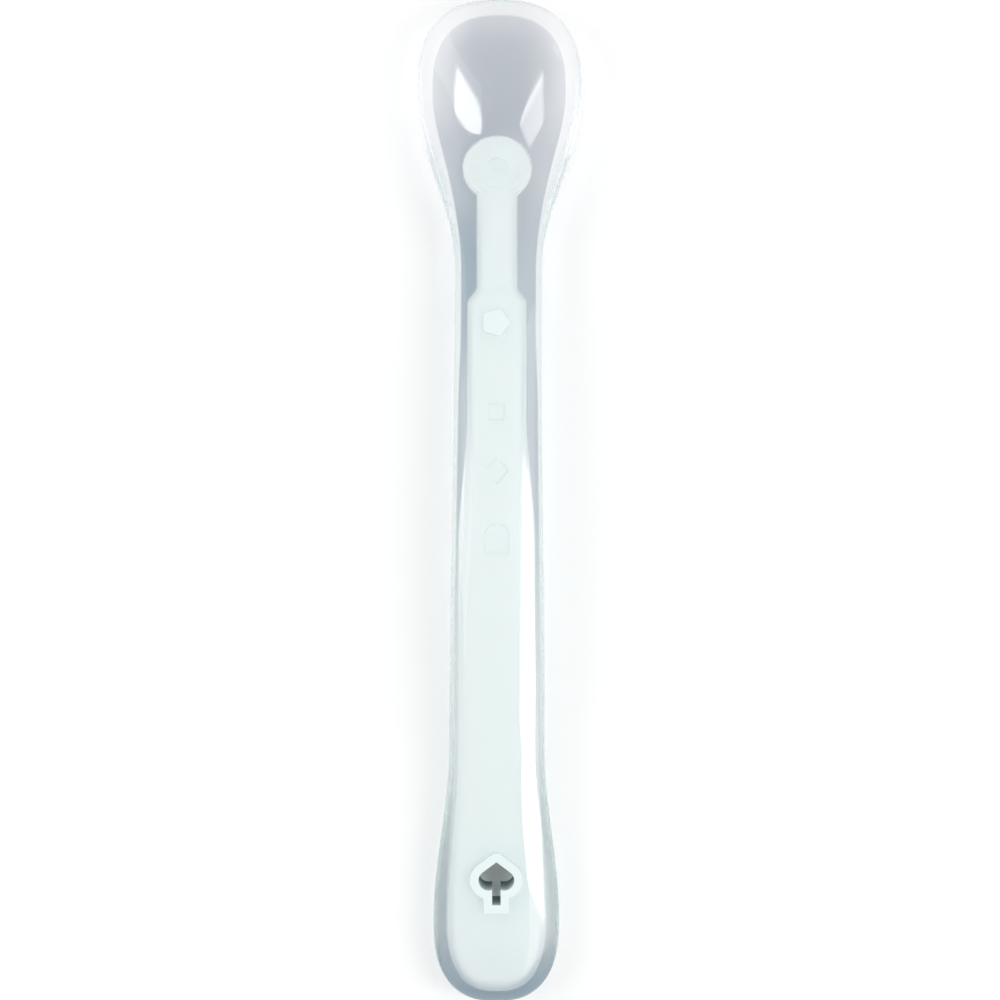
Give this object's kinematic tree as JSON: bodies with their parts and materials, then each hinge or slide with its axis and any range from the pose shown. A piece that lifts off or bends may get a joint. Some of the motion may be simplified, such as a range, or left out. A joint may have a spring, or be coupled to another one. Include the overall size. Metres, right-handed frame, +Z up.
{
  "type": "baby spoon",
  "caption": "Weaning spoon with a soft clear bowl and skin cast over a stiff pale mint core, arched grip and spade-shaped hanging hole in the tail.",
  "frame": {"origin": "middle of the spoon's outline, on the table that it lies on", "axes": "+X across the spoon, +Y along it towards the tip of the bowl, +Z up out of the bowl"},
  "size_m": [0.0256, 0.155, 0.0117],
  "materials": {
    "clear_silicone": "clear, glossy, very slightly cool",
    "mint_plastic": "smooth, satin, pale mint"
  },
  "bodies": {
    "root": {"silicone_body": "clear_silicone", "stiff_core": "mint_plastic"}
  },
  "joints": []
}
